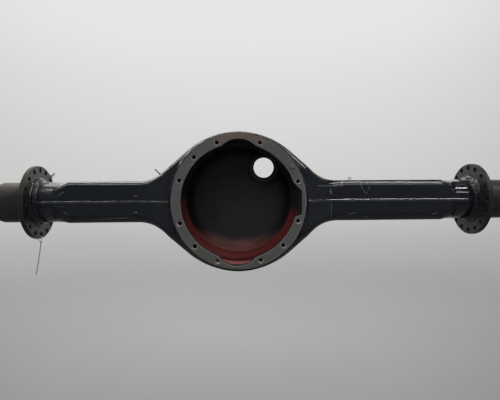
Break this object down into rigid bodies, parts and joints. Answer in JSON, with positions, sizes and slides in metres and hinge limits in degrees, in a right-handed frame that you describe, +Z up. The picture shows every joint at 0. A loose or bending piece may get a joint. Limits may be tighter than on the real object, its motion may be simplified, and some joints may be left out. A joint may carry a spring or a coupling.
{
  "type": "axle housing",
  "caption": "Pressed steel drive axle housing with a round carrier opening, a domed rear cover with an offset shaft hole, brake flanges and wheel spindles.",
  "frame": {"origin": "centre of the carrier bolt circle, on the machined front face of the ring", "axes": "+X along the axle towards the long arm, +Y rearward through the housing, +Z up"},
  "size_m": [2.11, 0.3628, 0.4677],
  "materials": {
    "shell_paint": "gloss black paint, scuffed and dusty",
    "weld_paint": "gloss black paint over a rippled weld bead",
    "boss_paint": "black paint with a machined bore",
    "machined_face": "machined face gone dull and dark",
    "dowel_steel": "ground steel, dulled",
    "plug_steel": "dark steel",
    "breather_steel": "dull steel",
    "flange_steel": "bare steel, dark, with a thin film of rust",
    "bare_weld": "bare rippled weld bead",
    "spindle_steel": "turned steel under a brown rust film",
    "tie_nylon": "black nylon"
  },
  "bodies": {
    "root": {"upper_shell_half": "shell_paint", "lower_shell_half": "shell_paint", "carrier_ring": "machined_face", "carrier_dowel": "dowel_steel", "ring_weld": "weld_paint", "rear_cover": "shell_paint", "cover_weld": "weld_paint", "output_boss": "boss_paint", "output_boss_weld": "weld_paint", "fill_boss": "boss_paint", "fill_boss_weld": "weld_paint", "fill_plug": "plug_steel", "drain_plug": "plug_steel", "breather": "breather_steel", "line_staple": "shell_paint", "lower_flange_tie": "tie_nylon", "upper_flange_tie": "tie_nylon", "seam_weld_front_left": "weld_paint", "seam_weld_front_right": "weld_paint", "seam_weld_rear_left": "weld_paint", "seam_weld_rear_right": "weld_paint", "left_brake_flange": "flange_steel", "right_brake_flange": "flange_steel", "left_inboard_weld": "weld_paint", "right_inboard_weld": "weld_paint", "left_outboard_weld": "bare_weld", "right_outboard_weld": "bare_weld", "left_spindle": "spindle_steel", "right_spindle": "spindle_steel"}
  },
  "joints": []
}
